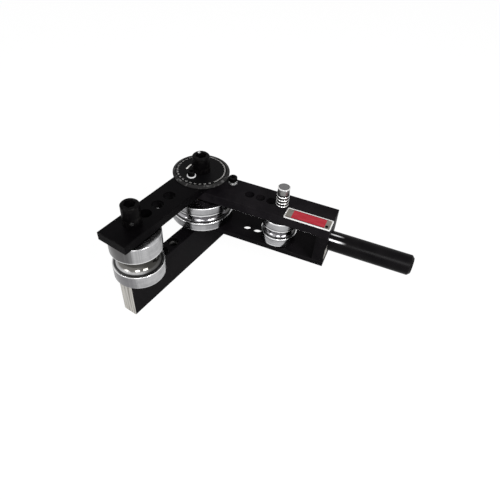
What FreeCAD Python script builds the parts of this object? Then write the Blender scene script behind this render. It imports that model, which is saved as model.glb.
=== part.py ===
import FreeCAD, Part
import math
import os

import Sketcher
from FreeCAD import Placement, Rotation, Vector

# Ring roller for a bench vice.
#
# Frame: the origin is on the pivot axis at the underside of the vice bar, +Z is up the pivot,
# +X runs out along the fixed arm. The lever arm leaves the pivot at opening_angle from +X.
# In a lever piece's own frame +X runs out along the lever, and the whole piece is turned with it.

SIZES = {
    # fixed arm
    "opening_angle": 101.5,
    "fixed_width": 34.0,
    "fixed_thickness": 10.0,
    "fixed_reach": 130.0,
    "bar_width": 16.0,
    "bar_height": 46.0,
    "bar_setback": 6.0,
    "bar_tail": 36.0,
    "bar_hole_depth": 27.0,
    "fixed_end_margin": 28.0,
    "fixed_station_pitch": 17.0,
    "fixed_station_count": 4,
    # lever arm
    "lever_width": 37.0,
    "lever_reach": 148.0,
    "lever_top_thickness": 11.0,
    "lever_bottom_thickness": 6.0,
    "lever_gap": 33.0,
    "lever_end_margin": 56.0,
    "lever_station_pitch": 12.0,
    "lever_station_count": 4,
    "end_block_length": 12.0,
    "plate_chamfer": 0.6,
    # vertical stack and clearances
    "support_washer_thickness": 3.0,
    "support_washer_diameter": 34.0,
    "top_washer_thickness": 0.9,
    "top_washer_diameter": 30.0,
    "axial_play": 0.1,
    "running_clearance": 0.05,
    "seat_clearance": 0.02,
    # bolts, collars and spacer tubes
    "bolt_shank_diameter": 12.0,
    "bolt_length": 95.0,
    "bolt_head_diameter": 18.0,
    "bolt_head_height": 12.0,
    "bolt_hex_width": 10.0,
    "bolt_hex_depth": 7.0,
    "clearance_hole_diameter": 12.2,
    "spacer_diameter": 18.0,
    "pivot_collar_height": 6.0,
    "pivot_collar_diameter": 19.0,
    "pivot_spigot_diameter": 16.0,
    "axle_collar_height": 11.0,
    "axle_collar_diameter": 18.0,
    "set_screw_diameter": 4.0,
    "set_screw_length": 2.6,
    "set_screw_hex_width": 2.0,
    "set_screw_level": 6.0,
    "set_screw_turn": 45.0,
    # rollers
    "outer_roller_diameter": 52.0,
    "outer_groove_radius": 9.6,
    "outer_washer_thickness": 0.5,
    "outer_washer_diameter": 30.0,
    "pivot_roller_diameter": 69.0,
    "lever_roller_diameter": 38.0,
    "small_groove_radius": 5.0,
    "lever_washer_thickness": 1.0,
    "pivot_washer_diameter": 34.0,
    "lever_washer_diameter": 22.0,
    "roller_chamfer": 0.8,
    "roller_bush_wall": 2.5,
    "pin_bush_wall": 2.0,
    "lever_bush_wall": 3.0,
    # quick pin
    "pin_diameter": 10.0,
    "pin_rib_radius": 6.7,
    "pin_root_radius": 5.7,
    "pin_rib_height": 2.0,
    "pin_rib_gap": 1.0,
    "pin_rib_count": 5,
    "pin_cap_radius": 6.5,
    "pin_cap_height": 7.6,
    "pin_tip_chamfer": 1.0,
    # dial
    "dial_diameter": 60.0,
    "dial_thickness": 2.2,
    "dial_bevel_width": 2.8,
    "dial_bevel_height": 1.4,
    "dial_screw_along": 14.6,
    "dial_screw_across": -1.4,
    # small screws and their washers
    "screw_shank_diameter": 5.0,
    "screw_head_diameter": 7.6,
    "screw_head_height": 5.0,
    "screw_hex_width": 4.0,
    "screw_hex_depth": 2.5,
    "screw_washer_diameter": 9.4,
    "screw_washer_thickness": 1.0,
    "stop_screw_along": 32.0,
    "stop_screw_across": 10.8,
    "stop_screw_depth": 8.0,
    "stop_screw_stand": 2.4,
    "stop_screw_head_diameter": 9.2,
    "stop_screw_head_height": 4.0,
    # handle
    "handle_diameter": 21.0,
    "handle_length": 85.0,
    "handle_round": 2.5,
    "handle_stud_diameter": 12.0,
    # label plate
    "label_clearance": 1.0,
    "label_width": 16.0,
    "label_thickness": 0.8,
    "rivet_inset": 4.5,
    "rivet_head_radius": 1.5,
    "rivet_head_height": 0.7,
    "rivet_shank_diameter": 2.0,
    "rivet_depth": 3.0,
}

# The document and its sheet of sizes -----------------------------------------------------

document = FreeCAD.newDocument("ring_roller")
sheet = document.addObject("Spreadsheet::Sheet", "Sizes")
for row, (word, number) in enumerate(SIZES.items(), start=1):
    sheet.set("A%d" % row, word)
    sheet.set("B%d" % row, str(number))
    sheet.setAlias("B%d" % row, word)
document.recompute()


class Dim:
    """A size worked out from the sheet: its number now, and the expression that gives it."""

    def __init__(self, value, text):
        self.value = float(value)
        self.text = text

    def __add__(self, other):
        other = as_dim(other)
        return Dim(self.value + other.value, "(%s + %s)" % (self.text, other.text))

    def __sub__(self, other):
        other = as_dim(other)
        return Dim(self.value - other.value, "(%s - %s)" % (self.text, other.text))

    def __mul__(self, other):
        other = as_dim(other)
        return Dim(self.value * other.value, "(%s * %s)" % (self.text, other.text))

    def __truediv__(self, other):
        other = as_dim(other)
        return Dim(self.value / other.value, "(%s / %s)" % (self.text, other.text))

    def __neg__(self):
        return Dim(-self.value, "(0 - %s)" % self.text)


def as_dim(number):
    """Turn a plain number into a Dim; a Dim stays as it is."""
    if isinstance(number, Dim):
        return number
    return Dim(number, repr(float(number)))


def size(word):
    """The sheet's cell of that name."""
    return Dim(SIZES[word], "Sizes." + word)


# Levels up the pivot and stations along the arms -------------------------------------------

opening = size("opening_angle")
play = size("axial_play")
seat = size("seat_clearance")
running = size("running_clearance")

bar_top = size("bar_height")
lever_underside = bar_top + size("support_washer_thickness") + play
lever_floor = lever_underside + size("lever_bottom_thickness")
lever_ceiling = lever_floor + size("lever_gap")
lever_top = lever_ceiling + size("lever_top_thickness")
fixed_underside = lever_top + play + size("top_washer_thickness")
fixed_top = fixed_underside + size("fixed_thickness")
stock_level = lever_floor + size("lever_gap") / 2

fixed_pitch = size("fixed_station_pitch")
lever_pitch = size("lever_station_pitch")
outer_station = size("fixed_reach") - size("fixed_end_margin")
lever_station = size("lever_reach") - size("lever_end_margin")

shank_radius = size("bolt_shank_diameter") / 2
spacer_radius = size("spacer_diameter") / 2
pin_radius = size("pin_diameter") / 2
roller_bore_radius = spacer_radius + running + size("roller_bush_wall")
lever_bore_radius = spacer_radius + running + size("lever_bush_wall")
pin_bush_radius = pin_radius + running + size("pin_bush_wall")


# Sketch and feature helpers ------------------------------------------------------------------

def new_body(label):
    """An empty body whose label is its node's name."""
    body = document.addObject("PartDesign::Body", label)
    body.Label = label
    return body


def origin_plane(body, role):
    """One of the body's own origin planes, by its role."""
    for feature in body.Origin.OriginFeatures:
        if feature.Role == role:
            return feature
    raise ValueError("no plane " + role)


def origin_axis(body, role):
    """One of the body's own origin axes, by its role."""
    return origin_plane(body, role)


def new_sketch(body, role, height=None):
    """A sketch on an origin plane of its body, lifted off it by height."""
    sketch = body.newObject("Sketcher::SketchObject", body.Label + "_sketch")
    sketch.AttachmentSupport = [(origin_plane(body, role), "")]
    sketch.MapMode = "FlatFace"
    if height is not None:
        sketch.setExpression("AttachmentOffset.Base.z", height.text)
    return sketch


def bind_constraint(sketch, constraint, dim):
    """Add a dimension to the sketch and tie it to the sheet."""
    index = sketch.addConstraint(constraint)
    name = "size%d" % index
    sketch.renameConstraint(index, name)
    sketch.setExpression("Constraints." + name, dim.text)


def pin_point(sketch, geometry, point, across, up):
    """Hold one end of a sketch edge at (across, up) from the sketch's origin."""
    across, up = as_dim(across), as_dim(up)
    if abs(across.value) < 1e-9:
        sketch.addConstraint(Sketcher.Constraint("PointOnObject", geometry, point, -2))
    else:
        bind_constraint(sketch, Sketcher.Constraint(
            "DistanceX", -1, 1, geometry, point, across.value), across)
    if abs(up.value) < 1e-9:
        sketch.addConstraint(Sketcher.Constraint("PointOnObject", geometry, point, -1))
    else:
        bind_constraint(sketch, Sketcher.Constraint(
            "DistanceY", -1, 1, geometry, point, up.value), up)


def draw_outline(sketch, corners, hollows=()):
    """A closed outline through the corners.

    hollows lists the edges, by the index of their first corner, that go straight up and are
    drawn as a half circle bulging towards the sketch's vertical axis instead of a line.
    """
    corners = [(as_dim(across), as_dim(up)) for across, up in corners]
    starts, ends = [], []
    for index, (across, up) in enumerate(corners):
        next_across, next_up = corners[(index + 1) % len(corners)]
        first = Vector(across.value, up.value, 0)
        last = Vector(next_across.value, next_up.value, 0)
        if index in hollows:
            middle = (first + last) / 2
            circle = Part.Circle(middle, Vector(0, 0, 1), (last - first).Length / 2)
            arc = Part.ArcOfCircle(circle, math.pi / 2, 3 * math.pi / 2)
            geometry = sketch.addGeometry(arc, False)
            starts.append((geometry, 2))
            ends.append((geometry, 1))
        else:
            geometry = sketch.addGeometry(Part.LineSegment(first, last), False)
            starts.append((geometry, 1))
            ends.append((geometry, 2))
    for index, (across, up) in enumerate(corners):
        geometry, point = starts[index]
        sketch.addConstraint(Sketcher.Constraint("Coincident", *ends[index - 1], *starts[index]))
        pin_point(sketch, geometry, point, across, up)
    for index in hollows:
        geometry = starts[index][0]
        across = corners[index][0]
        bind_constraint(sketch, Sketcher.Constraint(
            "DistanceX", -1, 1, geometry, 3, across.value), across)


def draw_circle(sketch, across, up, radius):
    """A circle with its centre held from the sketch's origin."""
    across, up, radius = as_dim(across), as_dim(up), as_dim(radius)
    centre = Vector(across.value, up.value, 0)
    geometry = sketch.addGeometry(Part.Circle(centre, Vector(0, 0, 1), radius.value), False)
    bind_constraint(sketch, Sketcher.Constraint("Radius", geometry, radius.value), radius)
    pin_point(sketch, geometry, 3, across, up)


def draw_hexagon(sketch, across, up, width):
    """A regular hexagon of the given width across flats about (across, up)."""
    across, up, width = as_dim(across), as_dim(up), as_dim(width)
    corner_radius = width / math.sqrt(3)
    centre = Vector(across.value, up.value, 0)
    round_edge = Part.Circle(centre, Vector(0, 0, 1), corner_radius.value)
    circle = sketch.addGeometry(round_edge, True)
    bind_constraint(sketch, Sketcher.Constraint(
        "Radius", circle, corner_radius.value), corner_radius)
    pin_point(sketch, circle, 3, across, up)
    angles = [math.radians(60 * step) for step in range(6)]
    points = [centre + Vector(math.cos(a), math.sin(a), 0) * corner_radius.value for a in angles]
    edges = [sketch.addGeometry(Part.LineSegment(points[step], points[(step + 1) % 6]), False)
             for step in range(6)]
    for step, edge in enumerate(edges):
        sketch.addConstraint(Sketcher.Constraint("Coincident", edges[step - 1], 2, edge, 1))
        sketch.addConstraint(Sketcher.Constraint("PointOnObject", edge, 1, circle))
        if step:
            sketch.addConstraint(Sketcher.Constraint("Equal", edges[0], edge))
    sketch.addConstraint(Sketcher.Constraint("Vertical", edges[0]))


def pad(body, sketch, height):
    """Raise a sketch straight up."""
    feature = body.newObject("PartDesign::Pad", body.Label + "_pad")
    feature.Profile = sketch
    feature.setExpression("Length", height.text)
    sketch.Visibility = False
    return feature


def pocket(body, sketch, depth=None, upward=False):
    """Cut a sketch down into the body (or up from below), by depth or right through."""
    feature = body.newObject("PartDesign::Pocket", body.Label + "_pocket")
    feature.Profile = sketch
    feature.Reversed = upward
    if depth is None:
        feature.Type = "ThroughAll"
    else:
        feature.setExpression("Length", depth.text)
    sketch.Visibility = False
    return feature


def revolve(body, sketch, role="Z_Axis"):
    """Turn a sketch once round an origin axis of its body."""
    feature = body.newObject("PartDesign::Revolution", body.Label + "_turned")
    feature.Profile = sketch
    feature.ReferenceAxis = (origin_axis(body, role), [""])
    feature.Angle = 360.0
    sketch.Visibility = False
    return feature


def turned(label, corners, hollows=(), role="Z_Axis"):
    """A body turned from a half section given as (radius, height) corners."""
    body = new_body(label)
    sketch = new_sketch(body, "XZ_Plane")
    draw_outline(sketch, corners, hollows)
    revolve(body, sketch, role)
    return body


def chamfer(body, edges, amount):
    """Break the named edges of the body's last feature."""
    document.recompute()
    base = body.Tip
    names = []
    for index, edge in enumerate(base.Shape.Edges, start=1):
        if edges(edge):
            names.append("Edge%d" % index)
    feature = body.newObject("PartDesign::Chamfer", body.Label + "_chamfer")
    feature.Base = (base, names)
    feature.setExpression("Size", amount.text)
    return feature


def tube(label, inner, outer, height):
    """A plain ring or tube standing on its body's origin."""
    return turned(label, [(inner, 0), (outer, 0), (outer, height), (inner, height)])


def place(body, height, along=0, across=0, on_lever=False):
    """Set a body at a height, and along and across its arm."""
    along, across, height = as_dim(along), as_dim(across), as_dim(height)
    if on_lever:
        turn = "(%s * 1 deg)" % opening.text
        body.Placement = Placement(Vector(), Rotation(Vector(0, 0, 1), opening.value))
        body.setExpression("Placement.Rotation.Angle", turn)
        parts = (along.text, turn, across.text, turn)
        body.setExpression("Placement.Base.x", "%s * cos(%s) - %s * sin(%s)" % parts)
        body.setExpression("Placement.Base.y", "%s * sin(%s) + %s * cos(%s)" % parts)
    else:
        body.setExpression("Placement.Base.x", along.text)
        body.setExpression("Placement.Base.y", across.text)
    body.setExpression("Placement.Base.z", height.text)
    return body


def turn(body, angle):
    """Turn a placed body about its own upright axis."""
    base = body.Placement.Base
    body.Placement = Placement(base, Rotation(Vector(0, 0, 1), angle.value))
    body.setExpression("Placement.Rotation.Angle", "(%s * 1 deg)" % angle.text)
    return body


# Arm plates ------------------------------------------------------------------------------------

def draw_arm_outline(sketch, half_width, reach):
    """An arm plate seen from above: round about the pivot, square at the far end."""
    width, length = half_width.value, reach.value
    near = sketch.addGeometry(Part.LineSegment(Vector(0, -width, 0), Vector(length, -width, 0)))
    end = sketch.addGeometry(Part.LineSegment(Vector(length, -width, 0), Vector(length, width, 0)))
    far = sketch.addGeometry(Part.LineSegment(Vector(length, width, 0), Vector(0, width, 0)))
    circle = Part.Circle(Vector(0, 0, 0), Vector(0, 0, 1), width)
    nose = sketch.addGeometry(Part.ArcOfCircle(circle, math.pi / 2, 3 * math.pi / 2))
    sketch.addConstraint(Sketcher.Constraint("Coincident", near, 2, end, 1))
    sketch.addConstraint(Sketcher.Constraint("Coincident", end, 2, far, 1))
    sketch.addConstraint(Sketcher.Constraint("Tangent", far, 2, nose, 1))
    sketch.addConstraint(Sketcher.Constraint("Tangent", nose, 2, near, 1))
    sketch.addConstraint(Sketcher.Constraint("Coincident", nose, 3, -1, 1))
    sketch.addConstraint(Sketcher.Constraint("Horizontal", near))
    sketch.addConstraint(Sketcher.Constraint("Vertical", end))
    bind_constraint(sketch, Sketcher.Constraint("Radius", nose, width), half_width)
    bind_constraint(sketch, Sketcher.Constraint("DistanceX", -1, 1, end, 1, length), reach)


def row_of_holes(body, top, last, radius, pitch, count, depth=None):
    """A row of equal holes along X, ending at last, cut down from the given height."""
    sketch = new_sketch(body, "XY_Plane", top)
    draw_circle(sketch, last - pitch * (count - 1), 0, radius)
    hole = pocket(body, sketch, depth)
    row = body.newObject("PartDesign::LinearPattern", body.Label + "_row")
    row.Originals = [hole]
    row.Direction = (origin_axis(body, "X_Axis"), [""])
    row.setExpression("Length", (pitch * (count - 1)).text)
    row.setExpression("Occurrences", count.text)
    body.Tip = row
    return row


def is_outer_edge(half_width, reach, height):
    """Tells the edges round the outside of an arm plate's top and bottom from the rest."""
    def test(edge):
        box = edge.BoundBox
        flat = box.ZLength < 1e-6 and (abs(box.ZMin) < 1e-6 or abs(box.ZMin - height) < 1e-6)
        side = abs(abs(box.YMin) - half_width) < 1e-4 or abs(abs(box.YMax) - half_width) < 1e-4
        end = abs(box.XMin - reach) < 1e-4
        return flat and (side or end)
    return test


def arm_plate(label, half_width, reach, thickness, pivot_radius, last, radius, pitch, count):
    """A flat arm plate with its pivot hole and its row of axle holes, the outermost at last."""
    body = new_body(label)
    sketch = new_sketch(body, "XY_Plane")
    draw_arm_outline(sketch, half_width, reach)
    draw_circle(sketch, 0, 0, pivot_radius)
    pad(body, sketch, thickness)
    row_of_holes(body, thickness, last, radius, pitch, count)
    chamfer(body, is_outer_edge(half_width.value, reach.value, thickness.value),
            size("plate_chamfer"))
    return body


def fixed_top_plate():
    """The fixed arm's upper plate, over the lever."""
    body = arm_plate("fixed_top_plate", size("fixed_width") / 2, size("fixed_reach"),
                     size("fixed_thickness"), size("clearance_hole_diameter") / 2,
                     outer_station, size("clearance_hole_diameter") / 2,
                     fixed_pitch, size("fixed_station_count"))
    return place(body, fixed_underside)


def vice_bar():
    """The upright flat bar under the rollers, which the vice grips and the bolts screw into."""
    body = new_body("vice_bar")
    sketch = new_sketch(body, "XY_Plane")
    half = size("bar_width") / 2
    tail, reach = -size("bar_tail"), size("fixed_reach") - size("bar_setback")
    draw_outline(sketch, [(tail, -half), (reach, -half), (reach, half), (tail, half)])
    pad(body, sketch, bar_top)
    hole_radius = shank_radius + seat
    depth = size("bar_hole_depth")
    top_sketch = new_sketch(body, "XY_Plane", bar_top)
    draw_circle(top_sketch, 0, 0, hole_radius)
    pocket(body, top_sketch, depth)
    row_of_holes(body, bar_top, outer_station, hole_radius, fixed_pitch,
                 size("fixed_station_count"), depth)
    chamfer(body, is_long_bar_edge(half.value), size("plate_chamfer"))
    return place(body, 0)


def is_long_bar_edge(half_width):
    """Tells the bar's four long edges from the rest."""
    def test(edge):
        box = edge.BoundBox
        return box.XLength > 100 and abs(abs(box.YMin) - half_width) < 1e-4
    return test


def lever_plate(label, thickness, height):
    """One of the lever's two plates."""
    body = arm_plate(label, size("lever_width") / 2, size("lever_reach"), thickness,
                     lever_bore_radius + seat, lever_station, pin_radius + running,
                     lever_pitch, size("lever_station_count"))
    return place(body, height, on_lever=True)


def lever_end_block():
    """The block between the lever's plates at the outer end, bored for the handle's stud."""
    body = new_body("lever_end_block")
    sketch = new_sketch(body, "XY_Plane")
    half = size("lever_width") / 2
    reach = size("lever_reach")
    inner = reach - size("end_block_length")
    draw_outline(sketch, [(inner, -half), (reach, -half), (reach, half), (inner, half)])
    pad(body, sketch, size("lever_gap"))
    side = body.newObject("Sketcher::SketchObject", "lever_end_block_bore")
    side.AttachmentSupport = [(origin_plane(body, "YZ_Plane"), "")]
    side.MapMode = "FlatFace"
    side.setExpression("AttachmentOffset.Base.z", inner.text)
    draw_circle(side, 0, size("lever_gap") / 2, size("handle_stud_diameter") / 2 + seat)
    pocket(body, side, size("end_block_length"), upward=True)
    return place(body, lever_floor, on_lever=True)


# Turned pieces ---------------------------------------------------------------------------------

def roller(label, radius, bore, height, groove_radius, groove_height):
    """A roller with a half-round groove between two plain flanges."""
    edge = size("roller_chamfer")
    low, high = groove_height - groove_radius, groove_height + groove_radius
    corners = [(bore, 0), (radius - edge, 0), (radius, edge), (radius, low), (radius, high),
               (radius, height - edge), (radius - edge, height), (bore, height)]
    return turned(label, corners, hollows=[3])


def outer_roller_group():
    """The fixed arm's roller with its bush, washers and the tube it turns on."""
    washer = size("outer_washer_thickness")
    bottom = bar_top + washer + play
    top = fixed_underside - washer - play
    height = top - bottom
    bore = roller_bore_radius + seat
    place(roller("outer_roller", size("outer_roller_diameter") / 2, bore, height,
                 size("outer_groove_radius"), stock_level - bottom), bottom, outer_station)
    place(tube("outer_roller_bush", spacer_radius + running, roller_bore_radius, height),
          bottom, outer_station)
    ring = (spacer_radius + seat, size("outer_washer_diameter") / 2, washer)
    place(tube("outer_washer_lower", *ring), bar_top, outer_station)
    place(tube("outer_washer_upper", *ring), fixed_underside - washer, outer_station)
    place(tube("outer_spacer_tube", shank_radius + seat, spacer_radius,
               fixed_underside - bar_top), bar_top, outer_station)


def pivot_roller_group():
    """The roller on the pivot, inside the lever, with its bush and washers."""
    washer = size("lever_washer_thickness")
    bottom = lever_floor + washer + play
    height = lever_ceiling - washer - play - bottom
    bore = roller_bore_radius + seat
    place(roller("pivot_roller", size("pivot_roller_diameter") / 2, bore, height,
                 size("small_groove_radius"), stock_level - bottom), bottom)
    place(tube("pivot_roller_bush", spacer_radius + running, roller_bore_radius, height), bottom)
    ring = (spacer_radius + running, size("pivot_washer_diameter") / 2, washer)
    place(tube("pivot_washer_lower", *ring), lever_floor, on_lever=True)
    place(tube("pivot_washer_upper", *ring), lever_ceiling - washer, on_lever=True)


def lever_roller_group():
    """The lever's roller with its bush and washers, round the quick pin."""
    washer = size("lever_washer_thickness")
    bottom = lever_floor + washer + play
    height = lever_ceiling - washer - play - bottom
    place(roller("lever_roller", size("lever_roller_diameter") / 2, pin_bush_radius + seat,
                 height, size("small_groove_radius"), stock_level - bottom),
          bottom, lever_station, on_lever=True)
    place(tube("lever_roller_bush", pin_radius + running, pin_bush_radius, height),
          bottom, lever_station, on_lever=True)
    ring = (pin_radius + running, size("lever_washer_diameter") / 2, washer)
    place(tube("lever_washer_lower", *ring), lever_floor, lever_station, on_lever=True)
    place(tube("lever_washer_upper", *ring), lever_ceiling - washer, lever_station, on_lever=True)


def pivot_stack():
    """The tube, bushes and washers that carry the lever between the bar and the top plate."""
    place(tube("pivot_spacer_tube", shank_radius + seat, spacer_radius,
               fixed_underside - bar_top), bar_top)
    place(tube("lever_support_washer", spacer_radius + seat,
               size("support_washer_diameter") / 2, size("support_washer_thickness")), bar_top)
    place(tube("lever_top_washer", spacer_radius + seat, size("top_washer_diameter") / 2,
               size("top_washer_thickness")), lever_top + play)
    place(tube("lever_bottom_bush", spacer_radius + running, lever_bore_radius,
               size("lever_bottom_thickness")), lever_underside, on_lever=True)
    place(tube("lever_top_bush", spacer_radius + running, lever_bore_radius,
               size("lever_top_thickness")), lever_ceiling, on_lever=True)


def socket_screw(label, shank, length, head, head_height, hex_width, hex_depth):
    """A socket-head screw whose head's seat is at its body's origin."""
    edge = head_height / 12
    body = turned(label, [(0, -length), (shank - edge, -length), (shank, edge - length),
                          (shank, 0), (head, 0), (head, head_height - edge),
                          (head - edge, head_height), (0, head_height)])
    sketch = new_sketch(body, "XY_Plane", head_height)
    draw_hexagon(sketch, 0, 0, hex_width)
    pocket(body, sketch, hex_depth)
    return body


def big_bolt(label):
    """One of the two equal bolts through the fixed arm."""
    return socket_screw(label, shank_radius, size("bolt_length"),
                        size("bolt_head_diameter") / 2, size("bolt_head_height"),
                        size("bolt_hex_width"), size("bolt_hex_depth"))


def pivot_bolt_group():
    """The pivot bolt and the flanged collar that holds the dial down."""
    spigot = size("dial_thickness") + play * 2
    seat_level = fixed_top + spigot + size("pivot_collar_height")
    bore, wide = shank_radius + seat, size("pivot_collar_diameter") / 2
    narrow = size("pivot_spigot_diameter") / 2
    top = spigot + size("pivot_collar_height")
    collar = turned("pivot_collar", [(bore, 0), (narrow, 0), (narrow, spigot), (wide, spigot),
                                     (wide, top), (bore, top)])
    place(collar, fixed_top)
    place(big_bolt("pivot_bolt"), seat_level)


def outer_axle_group():
    """The outer axle bolt, its collar and the collar's set screw, at an angle to the arm."""
    wide = size("axle_collar_diameter") / 2
    height = size("axle_collar_height")
    hole = size("set_screw_diameter") / 2
    level = size("set_screw_level")
    collar = tube("outer_axle_collar", shank_radius + seat, wide, height)
    sketch = new_sketch(collar, "YZ_Plane")
    draw_circle(sketch, 0, level, hole + seat)
    pocket(collar, sketch, wide, upward=True)
    turn(place(collar, fixed_top, outer_station), size("set_screw_turn"))
    place(big_bolt("outer_axle_bolt"), fixed_top + height, outer_station)
    inner = shank_radius + seat
    outer = inner + size("set_screw_length")
    screw = new_body("collar_set_screw")
    outline = new_sketch(screw, "XZ_Plane")
    draw_outline(outline, [(inner, 0), (outer, 0), (outer, hole), (inner, hole)])
    revolve(screw, outline, "X_Axis")
    socket = new_sketch(screw, "YZ_Plane", outer)
    draw_hexagon(socket, 0, 0, size("set_screw_hex_width"))
    pocket(screw, socket, size("set_screw_length") / 2)
    turn(place(screw, fixed_top + level, outer_station), size("set_screw_turn"))


def quick_pin():
    """The pin that the lever roller turns on, with its ribbed grip and plain cap."""
    root, rib = size("pin_root_radius"), size("pin_rib_radius")
    cap, cap_height = size("pin_cap_radius"), size("pin_cap_height")
    rib_height, gap = size("pin_rib_height"), size("pin_rib_gap")
    length = lever_top - lever_underside
    edge = gap / 2
    tip = size("pin_tip_chamfer")
    corners = [(0, -length), (pin_radius - tip, -length), (pin_radius, tip - length),
               (pin_radius, 0)]
    level = as_dim(0)
    for _ in range(SIZES["pin_rib_count"]):
        corners += [(rib, level), (rib, level + rib_height), (root, level + rib_height),
                    (root, level + rib_height + gap)]
        level = level + rib_height + gap
    corners += [(cap, level), (cap, level + cap_height - edge),
                (cap - edge, level + cap_height), (0, level + cap_height)]
    return place(turned("quick_pin", corners), lever_top, lever_station, on_lever=True)


# Dial, small screws, handle and label -------------------------------------------------------

def dial_group():
    """The degree dial on its collar, with the screw that locks it to the plate."""
    radius, thickness = size("dial_diameter") / 2, size("dial_thickness")
    slope, drop = size("dial_bevel_width"), size("dial_bevel_height")
    bore = size("pivot_spigot_diameter") / 2 + running
    bottom = fixed_top + play
    body = turned("dial", [(bore, 0), (radius, 0), (radius, thickness - drop),
                           (radius - slope, thickness), (bore, thickness)])
    along, across = size("dial_screw_along"), size("dial_screw_across")
    sketch = new_sketch(body, "XY_Plane", thickness)
    draw_circle(sketch, along, across, size("screw_shank_diameter") / 2 + seat)
    pocket(body, sketch)
    place(body, bottom)
    washer = size("screw_washer_thickness")
    place(screw_washer("dial_screw_washer"), bottom + thickness, along, across)
    screw = socket_screw("dial_lock_screw", size("screw_shank_diameter") / 2,
                         thickness + washer, size("screw_head_diameter") / 2,
                         size("screw_head_height"), size("screw_hex_width"),
                         size("screw_hex_depth"))
    place(screw, bottom + thickness + washer, along, across)


def screw_washer(label):
    """The bright washer under a small screw."""
    return tube(label, size("screw_shank_diameter") / 2 + seat,
                size("screw_washer_diameter") / 2, size("screw_washer_thickness"))


def stop_screw_group(plate):
    """The stop screw near the lever's pivot end, standing up out of its blind hole."""
    along, across = size("stop_screw_along"), size("stop_screw_across")
    sketch = new_sketch(plate, "XY_Plane", size("lever_top_thickness"))
    draw_circle(sketch, along, across, size("screw_shank_diameter") / 2 + seat)
    pocket(plate, sketch, size("stop_screw_depth"))
    washer = size("screw_washer_thickness")
    place(screw_washer("stop_screw_washer"), lever_top, along, across, on_lever=True)
    stand = washer + size("stop_screw_stand")
    screw = socket_screw("stop_screw", size("screw_shank_diameter") / 2,
                         size("stop_screw_depth") + stand, size("stop_screw_head_diameter") / 2,
                         size("stop_screw_head_height"), size("screw_hex_width"),
                         size("screw_hex_depth"))
    place(screw, lever_top + stand, along, across, on_lever=True)


def handle_bar():
    """The round handle with its stud in the end block."""
    radius, stud = size("handle_diameter") / 2, size("handle_stud_diameter") / 2
    start, finish = size("lever_reach"), size("lever_reach") + size("handle_length")
    inner, edge = start - size("end_block_length"), size("handle_round")
    body = new_body("handle_bar")
    sketch = new_sketch(body, "XZ_Plane")
    draw_outline(sketch, [(inner, 0), (inner, stud), (start, stud), (start, radius),
                          (finish - edge, radius), (finish, radius - edge), (finish, 0)])
    revolve(body, sketch, "X_Axis")
    return place(body, lever_floor + size("lever_gap") / 2, on_lever=True)


def label_group(plate):
    """The bare label plate at the lever's near outer corner, and its rivet."""
    width, reach = size("label_width"), size("lever_reach")
    near = size("lever_width") / 2
    start = lever_station + size("pin_rib_radius") + size("label_clearance")
    inset, shank = size("rivet_inset"), size("rivet_shank_diameter") / 2
    body = new_body("label_plate")
    sketch = new_sketch(body, "XY_Plane")
    draw_outline(sketch, [(start, -near), (reach, -near),
                          (reach, width - near), (start, width - near)])
    draw_circle(sketch, reach - inset, inset - near, shank + seat)
    pad(body, sketch, size("label_thickness"))
    place(body, lever_top, on_lever=True)
    hole = new_sketch(plate, "XY_Plane", size("lever_top_thickness"))
    draw_circle(hole, reach - inset, inset - near, shank + seat)
    pocket(plate, hole, size("rivet_depth"))
    head, head_height = size("rivet_head_radius"), size("rivet_head_height")
    depth = size("rivet_depth") + size("label_thickness")
    rivet = turned("label_rivet", [(0, -depth), (shank, -depth), (shank, 0), (head, 0),
                                   (head, head_height / 2), (head / 2, head_height),
                                   (0, head_height)])
    place(rivet, lever_top + size("label_thickness"), reach - inset, inset - near, on_lever=True)


# Assembly ------------------------------------------------------------------------------------

fixed_top_plate()
vice_bar()
lever_plate("lever_bottom_plate", size("lever_bottom_thickness"), lever_underside)
top_plate = lever_plate("lever_top_plate", size("lever_top_thickness"), lever_ceiling)
lever_end_block()
pivot_stack()
pivot_bolt_group()
outer_axle_group()
outer_roller_group()
pivot_roller_group()
lever_roller_group()
quick_pin()
dial_group()
stop_screw_group(top_plate)
handle_bar()
label_group(top_plate)
document.recompute()


# Checks and STEP files -----------------------------------------------------------------------

for thing in document.Objects:
    if "Invalid" in thing.State or "Error" in thing.State:
        raise RuntimeError("%s is %s" % (thing.Label, thing.State))

bodies = [thing for thing in document.Objects if thing.TypeId == "PartDesign::Body"]
os.makedirs("parts", exist_ok=True)
for body in bodies:
    shape = body.Shape
    if shape.isNull() or not shape.isValid() or not shape.Solids:
        raise RuntimeError("%s has no valid solid" % body.Label)
for body in bodies:
    body.Shape.exportStep(os.path.join("parts", body.Label + ".step"))
    box = body.Shape.BoundBox
    print("%-24s %9.1f mm3  x %7.2f..%7.2f  y %7.2f..%7.2f  z %7.2f..%7.2f" % (
        body.Label, body.Shape.Volume, box.XMin, box.XMax, box.YMin, box.YMax,
        box.ZMin, box.ZMax))
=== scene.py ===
"""Dresses the ring roller: finishes, turned rollers, grip pin, dial scale, label and stage."""

import logging
import math
from dataclasses import dataclass, field
from enum import Enum
from functools import partialmethod, reduce
from typing import Iterable, Optional, Sequence, Union

import bmesh
import bpy
from mathutils import Matrix, Vector

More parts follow.
